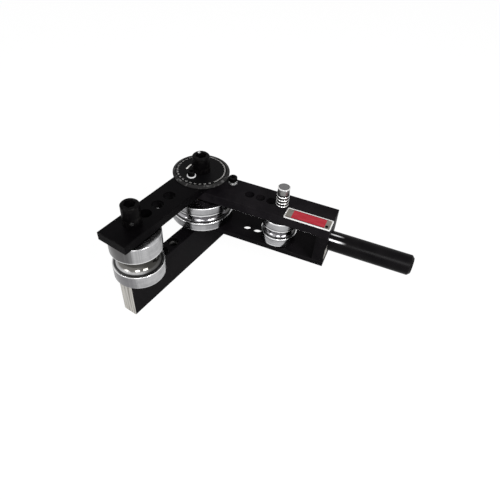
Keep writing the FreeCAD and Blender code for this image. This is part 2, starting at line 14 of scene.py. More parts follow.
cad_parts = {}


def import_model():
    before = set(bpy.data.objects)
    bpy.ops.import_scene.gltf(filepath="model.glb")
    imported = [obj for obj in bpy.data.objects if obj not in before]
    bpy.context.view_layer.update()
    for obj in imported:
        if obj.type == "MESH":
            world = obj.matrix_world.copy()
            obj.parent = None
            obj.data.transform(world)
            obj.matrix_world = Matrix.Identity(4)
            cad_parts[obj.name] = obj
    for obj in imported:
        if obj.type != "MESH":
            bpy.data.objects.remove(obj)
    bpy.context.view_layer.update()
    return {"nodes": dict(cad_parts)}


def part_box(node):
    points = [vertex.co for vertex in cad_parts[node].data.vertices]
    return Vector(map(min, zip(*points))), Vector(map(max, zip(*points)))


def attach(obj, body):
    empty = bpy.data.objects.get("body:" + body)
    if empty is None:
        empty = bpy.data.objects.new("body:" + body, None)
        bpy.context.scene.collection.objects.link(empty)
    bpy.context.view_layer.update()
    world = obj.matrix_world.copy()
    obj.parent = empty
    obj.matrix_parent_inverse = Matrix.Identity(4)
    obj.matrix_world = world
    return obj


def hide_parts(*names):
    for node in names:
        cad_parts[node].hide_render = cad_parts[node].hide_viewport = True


LOG = logging.getLogger("ring_roller")
MM = 0.001
WHITE = (1.0, 1.0, 1.0, 1.0)
WELD = 1e-7  # how near two points are merged, in metres
PATH_RADIUS = 1.0  # radius of the circle along which a section is turned, in metres
THREAD_STEPS = 36  # to a turn
THREAD_SIDES = 4
Colour = tuple[float, float, float]
Span = tuple[float, float]
Spans = tuple[float, float, float, float]
Profile = list[tuple[float, float]]
Material = bpy.types.Material
Piece = bpy.types.Object
Nodes = dict[str, Piece]


# Node trees


class Wire:
    """A value that runs through a node tree; Python's operators on it add Math nodes."""

    def __init__(self, tree: "NodeTree", socket: bpy.types.NodeSocket) -> None:
        """Wrap an output of one of the tree's nodes."""
        self.tree = tree
        self.socket = socket

    def run(self, operation: str, *others: "Number", flipped: bool = False) -> "Wire":
        """Run this value and others through one Math node; flipped, the others go in first."""
        values = (*others, self) if flipped else (self, *others)
        return self.tree.wire("ShaderNodeMath", dict(enumerate(values)), operation=operation)

    __add__ = __radd__ = partialmethod(run, "ADD")
    __mul__ = __rmul__ = partialmethod(run, "MULTIPLY")
    __sub__ = partialmethod(run, "SUBTRACT")
    __rsub__ = partialmethod(run, "SUBTRACT", flipped=True)
    __truediv__ = partialmethod(run, "DIVIDE")
    __abs__ = partialmethod(run, "ABSOLUTE")
    least = partialmethod(run, "MINIMUM")
    most = partialmethod(run, "MAXIMUM")
    root = partialmethod(run, "SQRT")
    fraction = partialmethod(run, "FRACT")
    sine = partialmethod(run, "SINE")
    cosine = partialmethod(run, "COSINE")

    def step(self, low: float, high: float) -> "Wire":
        """A mask that rises smoothly from 0 at low to 1 at high; above high, it falls."""
        return self.tree.wire("ShaderNodeMapRange", {0: self, 1: low, 2: high, 3: 0.0, 4: 1.0},
                              interpolation_type="SMOOTHSTEP")

    def between(self, low: float, high: float, soft: float) -> "Wire":
        """A mask that is 1 between two values, with soft ends inside them."""
        return self.step(low, low + soft) * self.step(high, high - soft)

    def near(self, value: float, outer: float, inner: float) -> "Wire":
        """A mask that is 0 where this is outer or more from a value, and 1 within inner."""
        return abs(self - value).step(outer, inner)


Number = Union[float, Wire]
Tint = Union[Colour, Wire]


def length_of(*parts: Wire) -> Wire:
    """The length of the vector with these parts."""
    return reduce(Wire.__add__, [part * part for part in parts]).root()


class NodeTree:
    """A node tree, with a short way to add nodes that are set and linked."""

    def __init__(self, tree: bpy.types.NodeTree) -> None:
        """Take over a tree and empty it."""
        self.tree = tree
        tree.nodes.clear()

    def node(self, kind: str, sockets: Optional[dict] = None,
             **settings: object) -> bpy.types.Node:
        """Add a node.

        Args:
            kind: The node's type.
            sockets: What its inputs hold, by name or number: a value or a Wire.
            settings: Its properties.

        Returns:
            The new node.
        """
        node = self.tree.nodes.new(kind)
        for name, value in settings.items():
            setattr(node, name, value)
        for name, value in (sockets or {}).items():
            if isinstance(value, Wire):
                self.tree.links.new(value.socket, node.inputs[name])
            else:
                node.inputs[name].default_value = value
        return node

    def wire(self, kind: str, sockets: Optional[dict] = None, output: Union[int, str] = 0,
             **settings: object) -> Wire:
        """Add a node and take one of its outputs, by name or number."""
        return Wire(self, self.node(kind, sockets, **settings).outputs[output])

    def vector(self, x: Number, y: Number, z: Number) -> Wire:
        """Three numbers as one vector."""
        return self.wire("ShaderNodeCombineXYZ", {0: x, 1: y, 2: z})

    def blend(self, share: Number, first: Tint, second: Tint) -> Wire:
        """Mix two colours; share is how much of the second shows."""
        first, second = (tint if isinstance(tint, Wire) else (*tint, 1.0)
                         for tint in (first, second))
        return self.wire("ShaderNodeMix", {0: share, 6: first, 7: second}, 2, data_type="RGBA")

    def ray_kinds(self) -> list[Wire]:
        """Whether a ray is the camera's, came through glass, or was mirrored."""
        path = self.node("ShaderNodeLightPath")
        return [Wire(self, path.outputs["Is %s Ray" % kind])
                for kind in ("Camera", "Transmission", "Glossy")]


def new_material(name: str) -> Material:
    """Start a material that is built of nodes.

    Args:
        name: Its name.

    Returns:
        The material.
    """
    material = bpy.data.materials.new(name)
    material.use_nodes = True
    return material


@dataclass(frozen=True)
class Grain:
    """A noise pattern on a piece.

    It has scale bumps to the metre and detail octaves, and rough is the strength of the fine
    ones. Where span is given, the noise is spread over it from 0 to 1. tint is its share in the
    blend of a finish's two colours, and matt in its roughness. It follows rings about the
    piece's axis, or stretch draws it out along the piece.
    """

    scale: float
    detail: float = 2.0
    rough: float = 0.5
    span: Optional[Span] = None
    tint: float = 0.0
    matt: float = 0.0
    rings: bool = False
    stretch: float = 1.0


class Coat(NodeTree):
    """A material while it is built up, with a point's coordinates on the piece.

    reach is the point's distance from the piece's axis.
    """

    colour: Wire
    roughness: Number
    metallic: Number

    def __init__(self, name: str, centre: Vector, turn: float) -> None:
        """Start a material and find the point.

        Args:
            name: The material's name.
            centre: Where the coordinates start, in metres.
            turn: How far they are turned about Z, in radians.
        """
        self.material = new_material(name)
        super().__init__(self.material.node_tree)
        texture = self.wire("ShaderNodeTexCoord", output="Object")
        shift = self.wire("ShaderNodeMapping", {"Vector": texture, "Location": -centre})
        self.point = self.wire("ShaderNodeMapping",
                               {"Vector": shift, "Rotation": (0.0, 0.0, -turn)})
        split = self.node("ShaderNodeSeparateXYZ", {0: self.point})
        self.along, self.across, self.up = (Wire(self, output) for output in split.outputs)
        self.reach = length_of(self.along, self.across)

    def facing(self, angle: float) -> Wire:
        """1 where the wall faces this angle about the axis, and -1 where it faces away."""
        return (self.along * math.cos(angle) + self.across * math.sin(angle)) / self.reach

    def grain(self, grain: Grain, where: Optional[Wire] = None) -> Wire:
        """Smooth random variation.

        Args:
            grain: Its pattern.
            where: The coordinates that it reads, if they aren't the point's.

        Returns:
            A number about 0.5, or from 0 to 1 where the pattern has a span.
        """
        where = where or self.point
        if grain.rings:
            where = self.vector(self.reach, 0.0, self.up)
        if grain.stretch != 1.0:
            where = self.vector(self.along * grain.stretch, self.across, self.up)
        noise = self.wire("ShaderNodeTexNoise", {
            "Vector": where, "Scale": grain.scale, "Detail": grain.detail,
            "Roughness": grain.rough})
        return noise.step(*grain.span) if grain.span else noise

    def lay(self, mask: Wire, tint: Tint, cover: float = 1.0, matt: float = 0.0,
            metallic: float = 0.0) -> None:
        """Lay a colour over what is there.

        Args:
            mask: 1 where it lies.
            tint: The colour.
            cover: How much it hides.
            matt: What it adds to the roughness.
            metallic: How metallic it is.
        """
        self.colour = self.blend(mask * cover, self.colour, tint)
        if matt:
            self.roughness = self.roughness + matt * mask
        if metallic:
            self.metallic = (metallic * mask).most(self.metallic)


# Finishes


Grains = tuple[Grain, ...]
PAINT_GRAINS = (Grain(900.0, matt=0.06),
                Grain(38.0, 4.0, 0.6, (0.32, 0.72), tint=1.0, matt=0.10))


def grey(value: float) -> Colour:
    """A grey with no tint."""
    return (value, value, value)


@dataclass(frozen=True, kw_only=True)
class Finish:
    """A surface that noise shades from one colour to another, and what use left on it.

    The first of its grains is also its relief. Its coordinates start at centre and are turned.
    """

    name: str
    colour: Colour
    shade: Colour
    grains: Grains
    roughness: float
    centre: Vector = field(default_factory=Vector)
    turn: float = 0.0
    # Brightness of both colours; set per piece, darker or lighter than its like, it paints
    # shade or light on it.
    tone: float = 1.0
    spread: Optional[Span] = None
    metallic: float = 0.0
    specular: float = 0.5
    relief: float = 0.01 * MM

    def make(self) -> Material:
        """Build the material.

        Returns:
            The material.
        """
        coat = Coat(self.name, self.centre, self.turn)
        noises = [coat.grain(grain) for grain in self.grains]
        pairs = list(zip(self.grains, noises))
        share = reduce(Wire.__add__, [grain.tint * noise for grain, noise in pairs
                                      if grain.tint])
        if self.spread:
            share = share.step(*self.spread)
        coat.colour = coat.blend(share, *(tuple(self.tone * part for part in tint)
                                          for tint in (self.colour, self.shade)))
        coat.roughness = sum((grain.matt * noise for grain, noise in pairs if grain.matt),
                             self.roughness)
        coat.metallic = self.metallic
        self.work(coat)
        bump = coat.wire("ShaderNodeBump",
                         {"Strength": 1.0, "Distance": self.relief, "Height": noises[0]})
        main = coat.wire("ShaderNodeBsdfPrincipled", {
            "Base Color": coat.colour, "Roughness": coat.roughness,
            "Metallic": coat.metallic, "Specular IOR Level": self.specular,
            "Normal": bump})
        coat.node("ShaderNodeOutputMaterial", {"Surface": main})
        return coat.material

    def work(self, coat: Coat) -> None:
        """Lay what cutting and use left over the plain coat; here, nothing."""


@dataclass(frozen=True)
class Slab:
    """A flat bar or plate, as the edges that its wear follows."""

    half_width: float
    start: float
    end: float
    low: float
    high: float
    round_nose: bool

    def edge_distance(self, coat: Coat) -> Wire:
        """How far a point on the slab's skin is from its nearest long edge.

        Args:
            coat: The slab's coat, turned with it.

        Returns:
            The distance in metres.
        """
        ahead = self.end - coat.along
        if self.round_nose:
            reach = length_of(coat.along.least(0.0), coat.across)
            side = (self.half_width - reach).least(ahead)
        else:
            ends = (coat.along - self.start).least(ahead)
            side = (self.half_width - abs(coat.across)).least(ends)
        return side.most((coat.up - self.low).least(self.high - coat.up))


@dataclass(frozen=True, kw_only=True)
class Enamel(Finish):
    """Stoved black paint, rubbed at its edges, over an end that was sawn and left."""

    slab: Slab
    colour: Colour = (0.0024, 0.0020, 0.0026)
    shade: Colour = (0.0056, 0.0048, 0.0056)
    grains: Grains = PAINT_GRAINS
    roughness: float = 0.36
    specular: float = 0.022
    relief: float = 0.02 * MM
    steel: Colour = (0.060, 0.058, 0.056)
    wear: float = 0.22
    wear_width: float = 0.5 * MM
    wear_edge: Span = (0.9, 0.3)
    wear_reach: float = 1.35
    wear_spread: float = 2.4
    patches: Grain = Grain(260.0, 4.0, 0.65)
    bare: float = 0.0
    bare_span: Span = (-1.0, 1.0)
    bare_fade: float = 2.0 * MM
    bare_depth: Span = (0.4 * MM, 0.2 * MM)
    bare_metallic: float = 0.55
    bare_matt: float = 0.12
    sawn: Colour = (0.50, 0.485, 0.455)
    stain: Colour = (0.17, 0.16, 0.145)
    strokes: Grain = Grain(300.0, 3.0, 0.6, (0.44, 0.60))
    stroke_stretch: float = 0.03

    def work(self, coat: Coat) -> None:
        """Rub the edges and bare the end.

        Args:
            coat: The plain paint.
        """
        ragged = self.wear_reach - self.wear_spread * coat.grain(self.patches)
        rubbed = (self.slab.edge_distance(coat) + self.wear_width * ragged).step(
            *(self.wear_width * share for share in self.wear_edge))
        coat.lay(rubbed * self.wear, self.steel, metallic=1.0)
        if self.bare:
            strokes = coat.grain(self.strokes, coat.vector(
                coat.across, coat.across, coat.up * self.stroke_stretch))
            face = ((self.slab.end - coat.along).step(*self.bare_depth) * self.bare
                    * coat.up.between(*self.bare_span, self.bare_fade))
            coat.lay(face, coat.blend(strokes, self.sawn, self.stain), matt=self.bare_matt,
                     metallic=self.bare_metallic)


@dataclass(frozen=True, kw_only=True)
class HandleEnamel(Finish):
    """Glossy black of the handle, with painted highlights at its root: streaks of bright bare
    steel.

    A streak is the angle at which it runs, its length and the angle that it takes up.
    """

    root: float
    level: float
    radius: float
    colour: Colour = (0.0016, 0.0013, 0.0017)
    shade: Colour = (0.0042, 0.0036, 0.0042)
    grains: Grains = PAINT_GRAINS
    roughness: float = 0.24
    specular: float = 0.052
    relief: float = 0.02 * MM
    steel: Colour = (0.85, 0.85, 0.86)
    scuffs: tuple[tuple[float, float, float], ...] = (
        (100.5, 15.0 * MM, 4.5), (134.5, 18.5 * MM, 5.5))
    scuff_fade: float = 0.35
    scuff_core: float = 0.5
    scuff_edges: Span = (0.6 * MM, 0.2 * MM)
    top_fade: float = 1.0 * MM
    ragged: float = 0.7 * MM
    bared: float = 0.95
    bared_metallic: float = 0.8
    strokes: Grain = Grain(900.0, 3.0, 0.6, stretch=0.05)

    def work(self, coat: Coat) -> None:
        """Paint the highlight streaks on the root, as bright bare steel.
        """
        strokes = self.ragged * coat.grain(self.strokes)
        above = coat.up.step(self.level, self.level + self.top_fade)
        outer, inner = self.scuff_edges
        marks = []
        for angle, length, spread in self.scuffs:
            middle = self.radius * math.cos(math.radians(angle))
            half = self.radius * math.sin(math.radians(angle)) * math.radians(spread)
            away = abs(coat.across - middle) + strokes
            fade = (coat.along - self.root).step(length, self.scuff_fade * length)
            marks.append(away.step(half + outer, half * self.scuff_core + inner)
                         * fade * above)
        # Painted highlights: bright steel streaks along the top of the handle at its root.
        coat.lay(reduce(Wire.most, marks), self.steel, self.bared,
                 metallic=self.bared_metallic)


@dataclass(frozen=True, kw_only=True)
class Turned(Finish):
    """Bare metal off the lathe, with fine rings about its axis and patches of painted shade."""

    grains: Grains = (
        Grain(1500.0, 2.0, 0.7, tint=0.45, rings=True),
        Grain(600.0, 3.0, tint=0.35, rings=True),
        Grain(90.0, 4.0, 0.6, (0.35, 0.75), tint=0.20, matt=0.12),
        Grain(250.0, matt=0.10, rings=True))
    spread: Span = (0.25, 0.75)
    line: Colour = grey(0.012)
    roughness: float = 0.10
    metallic: float = 1.0
    relief: float = 0.012 * MM
    specks: float = 0.0
    oil: Grain = Grain(650.0, 2.0, 0.5, (0.40, 0.54))

    def work(self, coat: Coat) -> None:
        """Lay patches of painted shade, where the piece is given a share of them."""
        if self.specks:
            coat.lay(coat.grain(self.oil), self.line, self.specks)


@dataclass(frozen=True, kw_only=True)
class Grooved(Turned):
    """A roller's steel, with painted light and shade: bright painted highlights along its
    edges, and a groove painted dark in its middle and lighter at its shoulders.

    Angles are about the roller's axis. One gives the side where its flanges are painted bright,
    with painted shade towards the far side; gloom is the side where its groove is painted dark.
    """

    groove_radius: float
    groove_level: float
    outer_radius: float
    low: float
    high: float
    hollow: Colour
    shoulder: Colour
    land: Colour = (0.90, 0.90, 0.91)
    tarnish: Colour = (0.15, 0.147, 0.155)
    deep: Colour = (0.035, 0.034, 0.031)
    glint: Colour = grey(0.95)
    land_share: float = 0.8
    land_width: Span = (1.7 * MM, 1.0 * MM)
    wall: float = 0.97
    wall_depth: float = 0.6 * MM
    worn_span: Span = (0.52, 0.34)
    brim_span: Span = (0.72, 0.90)
    brim_share: float = 0.8
    brim_matt: float = 0.30
    floor_polish: float = 0.05
    gloom: float = math.radians(121.0)
    gloom_span: Span = (0.15, 0.75)
    gloom_share: float = 0.85
    rubbed: float = 0.0
    rub: Grain = Grain(7.5, 1.0, 0.5, (0.50, 0.58))
    polish: Optional[float] = None
    fade: Span = (0.95, -0.15)
    streaks: Grain = Grain(5.0, 3.0, 0.6)
    streak_share: float = 1.2
    tarnish_share: float = 0.85
    shaded: float = 0.0
    shaded_fade: Span = (0.0, 1.0 * MM)
    crisp: float = 0.0
    edge_offset: float = 0.4 * MM
    corner_width: Span = (0.4 * MM, 0.2 * MM)
    arris_width: Span = (0.6 * MM, 0.3 * MM)
    line_share: float = 0.9
    score: float = 0.0
    score_width: Span = (0.5 * MM, 0.3 * MM)
    score_share: float = 0.8

    def work(self, coat: Coat) -> None:
        """Lay the painted highlights, the painted shade and reflection bands, and the edge
        lines.

        Args:
            coat: The plain metal.
        """
        groove = self.groove_radius
        height = coat.up + self.centre.z
        level = abs(coat.up + (self.centre.z - self.groove_level))
        inside = level.step(groove, groove * self.wall)
        floor = inside * coat.reach.step(self.outer_radius, self.outer_radius - self.wall_depth)
        ends = (height - self.low).least(self.high - height)
        # Painted highlights: bright bands along the flanges' edges.
        rim_highlights = (level - groove).least(ends).step(*self.land_width)
        coat.lay(rim_highlights * (1 - inside), self.land, self.land_share)
        # Painted shade in the groove: dark in its middle, lighter at its shoulders and lighter
        # again near its brim.
        middle, brim = (level.step(*(groove * share for share in span))
                        for span in (self.worn_span, self.brim_span))
        worn = coat.blend(middle, self.shoulder, self.hollow)
        coat.lay(floor, coat.blend(brim * self.brim_share, worn, self.colour),
                 matt=-self.floor_polish)
        coat.roughness = coat.roughness + self.brim_matt * brim * floor
        # Painted shade: the groove's floor darker on one side.
        gloom = coat.facing(self.gloom).step(*self.gloom_span)
        coat.lay(gloom * floor, self.deep, self.gloom_share)
        around = coat.vector(coat.along / coat.reach, coat.across / coat.reach, 0.0)
        # Painted shade: dark breaks round the groove's floor that part its highlights.
        if self.rubbed:
            coat.lay(coat.grain(self.rub, around) * floor, self.hollow, self.rubbed)
        # Painted shade on the flanges away from one side, broken into painted reflection bands,
        # and more painted shade on the upper flange.
        if self.polish is not None:
            streaks = self.streak_share * (coat.grain(self.streaks, around) - 0.5)
            dull = (coat.facing(self.polish) + streaks).step(*self.fade) * (1 - floor)
            coat.lay(dull, self.tarnish, self.tarnish_share)
            above = (height - self.groove_level).step(*self.shaded_fade)
            coat.lay(dull * above, self.hollow, self.shaded)
        # Painted highlight: a bright line on the flange at the groove's edge.
        arris = level.near(groove + self.edge_offset, *self.arris_width)
        coat.lay(arris, self.glint, self.crisp)
        # Painted shade: a dark line just inside the groove's edge, with dark rings on the
        # flanges where given.
        lines = level.near(groove - self.edge_offset, *self.corner_width)
        if self.score:
            scored = level.near(groove + self.score, *self.score_width)
            lines = lines.most(scored * self.score_share)
        coat.lay(lines, self.line, self.line_share)


@dataclass(frozen=True, kw_only=True)
class GripSteel(Finish):
    """Bright steel of the pin, with painted shade in its gaps and under its cap."""

    base: float
    pitch: float
    count: int
    cap: float
    cap_height: float
    top: float
    colour: Colour = (0.93, 0.925, 0.92)
    shade: Colour = (0.62, 0.615, 0.61)
    grains: Grains = (Grain(1500.0, 2.0, 0.7, tint=0.4, rings=True),
                      Grain(120.0, 4.0, 0.6, (0.35, 0.75), tint=0.6, matt=0.10))
    roughness: float = 0.12
    metallic: float = 1.0
    relief: float = 0.012 * MM
    sleeve: Colour = (0.22, 0.215, 0.21)
    crown: Colour = (0.16, 0.16, 0.165)
    grease: Colour = grey(0.006)
    grease_matt: float = 0.30
    sleeve_matt: float = 0.22
    mottle: Grain = Grain(700.0, 3.0, 0.5, (0.35, 0.7))
    mottle_share: float = 0.7
    ring_share: float = 0.8
    rib_top: Span = (0.44, 0.52)
    rib_foot: Span = (0.05, 0.01)
    rib_skin: Span = (0.1 * MM, 0.4 * MM)
    rib_fade: float = 0.1 * MM
    sleeve_fade: float = 0.2 * MM
    neck_low: Span = (1.0 * MM, 0.7 * MM)
    neck_high: Span = (-0.1 * MM, 0.1 * MM)
    crown_edge: Span = (1.0 * MM, 1.2 * MM)
    crown_low: Span = (0.0, -0.3 * MM)
    ring_edge: Span = (1.9 * MM, 1.5 * MM)

    def work(self, coat: Coat) -> None:
        """Paint shade in the gaps and under the cap, darken the sleeve, paint the cap's face
        dark.

        Args:
            coat: The plain steel.
        """
        def within(edge: Wire, depths: Span) -> Wire:
            """A mask that rises between two depths under an edge."""
            return edge.step(*(-depth for depth in depths))

        below_cap = self.top - self.base - self.cap_height
        ribs_end = self.count * self.pitch
        height = coat.up + (self.centre.z - self.base)
        wall, brim = coat.reach - self.cap, height - below_cap
        beat = (height * (1 / self.pitch)).fraction()
        groove = beat.step(*self.rib_top).most(beat.step(*self.rib_foot)).most(
            within(wall, self.rib_skin))
        # Painted shade in the gaps between the ribs, which are also rougher.
        coat.lay(height.between(0.0, ribs_end, self.rib_fade) * groove, self.grease,
                 matt=self.grease_matt)
        # The sleeve darker.
        coat.lay(height.between(ribs_end, below_cap, self.sleeve_fade), self.sleeve,
                 matt=self.sleeve_matt)
        # Painted shadow under the cap.
        coat.lay(within(brim, self.neck_low) * within(brim, self.neck_high), self.grease)
        # Painted reflection: the cap's face dark and mottled, with a darker ring near its edge.
        face = coat.blend(self.mottle_share * coat.grain(self.mottle), self.crown, self.sleeve)
        ring = within(wall, self.ring_edge) * self.ring_share
        coat.lay(within(wall, self.crown_edge) * within(brim, self.crown_low),
                 coat.blend(ring, face, self.grease))


@dataclass(frozen=True, kw_only=True)
class Oxide(Finish):
    """Black-oxide steel of the bolts, screws and collars, with a painted glint if it has one.
    """

    colour: Colour = (0.0014, 0.0012, 0.0014)
    shade: Colour = (0.0060, 0.0055, 0.0054)
    grains: Grains = (Grain(1300.0, matt=0.12, rings=True),
                      Grain(150.0, 4.0, 0.6, (0.45, 0.75), tint=1.0, matt=-0.08))
    roughness: float = 0.28
    specular: float = 0.028
    nick: Optional[Vector] = None
    nick_size: Span = (1.8 * MM, 1.3 * MM)
    torn: Grain = Grain(150.0, 4.0, 0.6)
    ragged: float = 0.4 * MM
    bright: Colour = grey(0.90)

    def work(self, coat: Coat) -> None:
        """Paint the glint: a small bright spot.

        Args:
            coat: The plain oxide.
        """
        # Painted highlight: a small bright metal spot with a ragged edge.
        if self.nick:
            away = length_of(*(part - offset for part, offset in zip(
                (coat.along, coat.across, coat.up), self.nick - self.centre)))
            nick = (away + self.ragged * coat.grain(self.torn)).step(*self.nick_size)
            coat.lay(nick, self.bright, metallic=1.0)


@dataclass(frozen=True, kw_only=True)
class DialFace(Finish):
    """Satin black of the dial, with faint rings from facing it on the lathe."""

    rim_radius: float
    colour: Colour = (0.0014, 0.0013, 0.0015)
    shade: Colour = (0.0040, 0.0038, 0.0042)
    grains: Grains = (Grain(1700.0, 3.0, 0.7, tint=0.5, rings=True),
                      Grain(70.0, 4.0, 0.6, (0.3, 0.75), tint=0.5, matt=0.10))
    roughness: float = 0.36
    specular: float = 0.03
    bevel: Colour = (0.030, 0.029, 0.029)
    bevel_depth: Span = (3.1 * MM, 2.7 * MM)
    bevel_share: float = 0.55
    bevel_matt: float = -0.08
    worn: Colour = (0.15, 0.148, 0.145)
    worn_share: float = 0.7
    worn_metallic: float = 0.6
    patches: Grain = Grain(240.0, 3.0, 0.5, (0.50, 0.72))

    def work(self, coat: Coat) -> None:
        """Rub the bevelled rim.

        Args:
            coat: The plain black.
        """
        rim = coat.reach.step(*(self.rim_radius - depth for depth in self.bevel_depth))
        coat.lay(rim, self.bevel, self.bevel_share, self.bevel_matt)
        coat.lay(rim * coat.grain(self.patches), self.worn, self.worn_share,
                 metallic=self.worn_metallic)


@dataclass(frozen=True, kw_only=True)
class MarkPaint(Finish):
    """Pale paint of the dial's marks, a little worn."""

    colour: Colour = (0.44, 0.43, 0.42)
    shade: Colour = (0.09, 0.088, 0.085)
    grains: Grains = (Grain(2600.0),
                      Grain(420.0, 3.0, 0.6, (0.42, 0.72), tint=0.8, matt=0.1))
    roughness: float = 0.5


@dataclass(frozen=True, kw_only=True)
class LabelEnamel(Finish):
    """Red enamel on the label's field."""

    colour: Colour = (0.34, 0.016, 0.028)
    shade: Colour = (0.42, 0.045, 0.060)
    grains: Grains = (Grain(2400.0), Grain(420.0, 4.0, 0.6, (0.38, 0.72), tint=0.6, matt=0.10,
                                           stretch=0.25))
    roughness: float = 0.34
    specular: float = 0.15


@dataclass(frozen=True, kw_only=True)
class LabelFoil(Finish):
    """Brushed bright metal of the label's sheet and rim."""

    colour: Colour = (0.22, 0.205, 0.18)
    shade: Colour = (0.15, 0.14, 0.12)
    grains: Grains = (Grain(3200.0, 2.0, 0.7, tint=0.5, stretch=0.04),
                      Grain(110.0, 4.0, 0.6, (0.35, 0.7), tint=0.5, matt=0.15))
    roughness: float = 0.30
    metallic: float = 0.45
    specular: float = 0.3
    relief: float = 0.012 * MM


# Meshes


def link(name: str, data: bpy.types.ID) -> Piece:
    """Put a mesh, curve, camera or lamp in the scene, with its object at the origin.

    Args:
        name: The object's name.
        data: What it holds.

    Returns:
        The object.
    """
    piece = bpy.data.objects.new(name, data)
    bpy.context.scene.collection.objects.link(piece)
    return piece


def settle(carrier: Piece) -> bpy.types.Mesh:
    """Take a helper object's finished mesh and remove the helper.

    Args:
        carrier: The helper.

    Returns:
        The mesh.
    """
    graph = bpy.context.evaluated_depsgraph_get()
    mesh = bpy.data.meshes.new_from_object(carrier.evaluated_get(graph))
    bpy.data.objects.remove(carrier)
    return mesh


def tidy_mesh(mesh: bpy.types.Mesh, angle: float = 32.0) -> None:
    """Merge doubles, turn faces outwards and shade smooth up to an angle.

    Args:
        mesh: The mesh.
        angle: The sharpest turn that is still shaded smooth, in degrees.
    """
    work = bmesh.new()
    work.from_mesh(mesh)
    bmesh.ops.remove_doubles(work, verts=work.verts, dist=WELD)
    bmesh.ops.recalc_face_normals(work, faces=work.faces)
    work.to_mesh(mesh)
    work.free()
    mesh.shade_smooth()
    mesh.set_sharp_from_angle(angle=math.radians(angle))


def dress(piece: Piece, material: Material) -> None:
    """Give a piece one material.

    Args:
        piece: The piece.
        material: Its material.
    """
    slots = piece.data.materials
    for index in range(len(slots)):
        slots[index] = material
    if not slots:
        slots.append(material)


def fit(piece: Piece, body: str, stands_for: Optional[str] = None) -> None:
    """Let a piece ride on a body.

    Args:
        piece: The piece.
        body: The body that it moves with.
        stands_for: The CAD node that it replaces, if it does.
    """
    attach(piece, body)
    if stands_for:
        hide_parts(stands_for)


def walled(name: str, rims: Sequence[Sequence[Vector]], capped: bool,
           material: Material) -> Piece:
    """A piece whose wall runs through outlines of equal length.

    Args:
        name: The piece's name.
        rims: The outlines, as points in space.
        capped: Whether the first and the last are closed.
        material: What it is made of.

    Returns:
        The piece.
    """
    count, last = len(rims[0]), len(rims) - 1
    faces = [tuple(range(ring * count, (ring + 1) * count)) for ring in (0, last) if capped]
    for low in range(0, last * count, count):
        high = low + count
        faces += [(low + i, low + (i + 1) % count, high + (i + 1) % count, high + i)
                  for i in range(count)]
    mesh = bpy.data.meshes.new(name)
    mesh.from_pydata([point for rim in rims for point in rim], [], faces)
    tidy_mesh(mesh)
    piece = link(name, mesh)
    dress(piece, material)
    return piece


def rounded(corners: Sequence[tuple[float, float, float]], steps: int = 5) -> Profile:
    """Round the corners of an outline.

    Args:
        corners: Each corner's two coordinates and its rounding, in metres.
        steps: Points to a rounding.

    Returns:
        The outline with its roundings.
    """
    outline: Profile = []
    for index, (first, second, rounding) in enumerate(corners):
        if rounding <= 0:
            outline.append((first, second))
            continue
        here = Vector((first, second))
        before = Vector(corners[index - 1][:2]) - here
        after = Vector(corners[(index + 1) % len(corners)][:2]) - here
        back = rounding / math.tan(before.angle(after) / 2)
        start = here + before.normalized() * back
        end = here + after.normalized() * back
        for step in range(steps + 1):
            share = step / steps
            bend = (start * (1 - share) ** 2 + here * 2 * share * (1 - share)
                    + end * share ** 2)
            outline.append((bend.x, bend.y))
    return outline


# Geometry trees


class SizeKind(Enum):
    """The kinds of size that a geometry tree takes."""

    LENGTH = "NodeSocketFloat"
    COUNT = "NodeSocketInt"
    SUBSTANCE = "NodeSocketMaterial"


